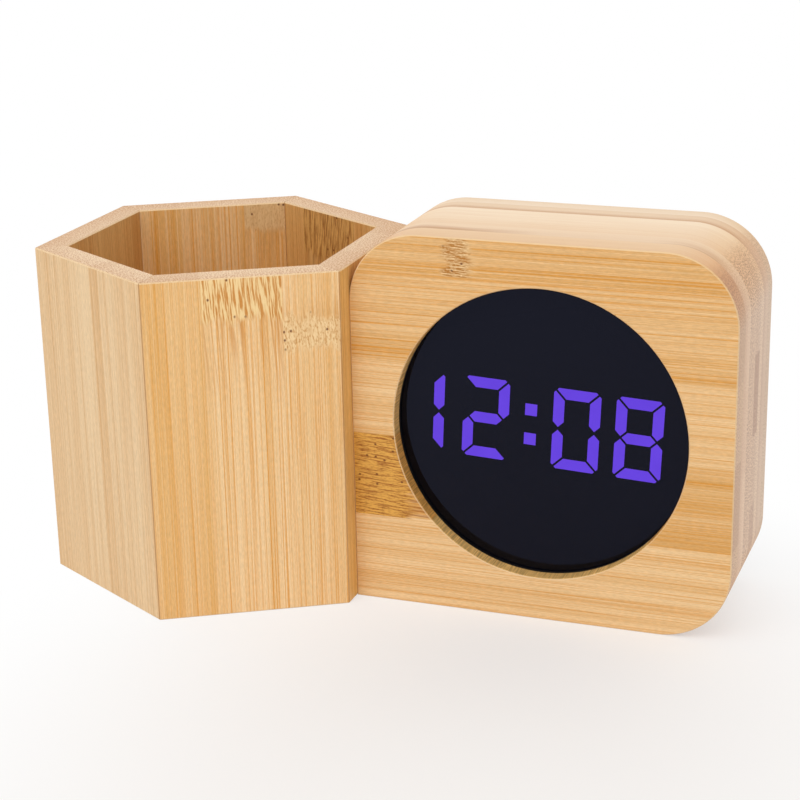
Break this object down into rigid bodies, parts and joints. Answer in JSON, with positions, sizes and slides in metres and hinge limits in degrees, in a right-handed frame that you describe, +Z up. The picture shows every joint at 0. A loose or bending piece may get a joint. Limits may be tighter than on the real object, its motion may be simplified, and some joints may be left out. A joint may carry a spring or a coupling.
{
  "type": "pen holder clock",
  "caption": "Hexagonal bamboo pen cup joined to a rounded bamboo case with a round window, a lit digital clock behind tinted acrylic, keys, a charging socket and a hinged battery door.",
  "frame": {"origin": "centre of the bounding box on the desk, under the joint side of the clock", "axes": "+X from the cup to the clock, -Y the way the clock faces, +Z up"},
  "size_m": [0.187, 0.1002, 0.1],
  "materials": {
    "bamboo_cup": "satin lacquer",
    "bamboo_face": "satin lacquer",
    "bamboo_ply": "sanded end grain",
    "bamboo_dark_ply": "sanded end grain",
    "dowel_beech": "plain",
    "tinted_acrylic": "polished",
    "black_abs": "fine spark texture",
    "mask_abs": "matt",
    "lit_bar": "glowing",
    "unlit_bar": "smoked",
    "led_package": "plain",
    "circuit_board": "solder mask",
    "chip_epoxy": "plain",
    "nickel_plate": "plated",
    "zinc_steel": "zinc plated",
    "cell_sleeve": "printed film left plain",
    "plug_nylon": "plain",
    "ribbon_pvc": "plain"
  },
  "bodies": {
    "clock_and_cup": {"stave_front_left": "bamboo_cup", "stave_front_right": "bamboo_cup", "stave_right": "bamboo_cup", "stave_rear_right": "bamboo_cup", "stave_rear_left": "bamboo_cup", "stave_left": "bamboo_cup", "cup_floor": "bamboo_cup", "joining_dowels": "dowel_beech", "face_board": "bamboo_face", "front_ply": "bamboo_dark_ply", "core_board": "bamboo_ply", "rear_ply": "bamboo_dark_ply", "rear_board": "bamboo_ply", "display_lens": "tinted_acrylic", "digit_mask": "mask_abs", "lit_strokes": "lit_bar", "unlit_strokes": "unlit_bar", "stroke_leds": "led_package", "display_board": "circuit_board", "control_board": "circuit_board", "control_chip": "chip_epoxy", "crystal": "nickel_plate", "coin_cell": "nickel_plate", "coin_cell_holder": "chip_epoxy", "buzzer": "chip_epoxy", "charging_socket": "nickel_plate", "key_switches": "chip_epoxy", "ribbon_plugs": "plug_nylon", "board_ribbon": "ribbon_pvc", "board_screws": "zinc_steel", "back_cover": "black_abs", "cover_screws": "zinc_steel", "battery_cells": "cell_sleeve", "battery_springs": "nickel_plate", "battery_contacts": "nickel_plate"},
    "battery_door": {"battery_door": "black_abs"},
    "set_key": {"set_key": "black_abs", "set_plunger": "chip_epoxy"},
    "up_key": {"up_key": "black_abs", "up_plunger": "chip_epoxy"},
    "down_key": {"down_key": "black_abs", "down_plunger": "chip_epoxy"}
  },
  "joints": [
    {"name": "set_key_press", "type": "slide", "parent": "clock_and_cup", "child": "set_key", "axis": [0, -1, 0], "range_m": [0, 0.0005], "stiffness_N_per_m": 400, "springref_m": -0.0005},
    {"name": "up_key_press", "type": "slide", "parent": "clock_and_cup", "child": "up_key", "axis": [0, -1, 0], "range_m": [0, 0.0005], "stiffness_N_per_m": 400, "springref_m": -0.0005},
    {"name": "down_key_press", "type": "slide", "parent": "clock_and_cup", "child": "down_key", "axis": [0, -1, 0], "range_m": [0, 0.0005], "stiffness_N_per_m": 400, "springref_m": -0.0005},
    {"name": "battery_door_hinge", "type": "hinge", "parent": "clock_and_cup", "child": "battery_door", "pos_m": [0.0435, 0.02219, 0.02335], "axis": [-1, 0, 0], "range_deg": [0, 95]}
  ]
}
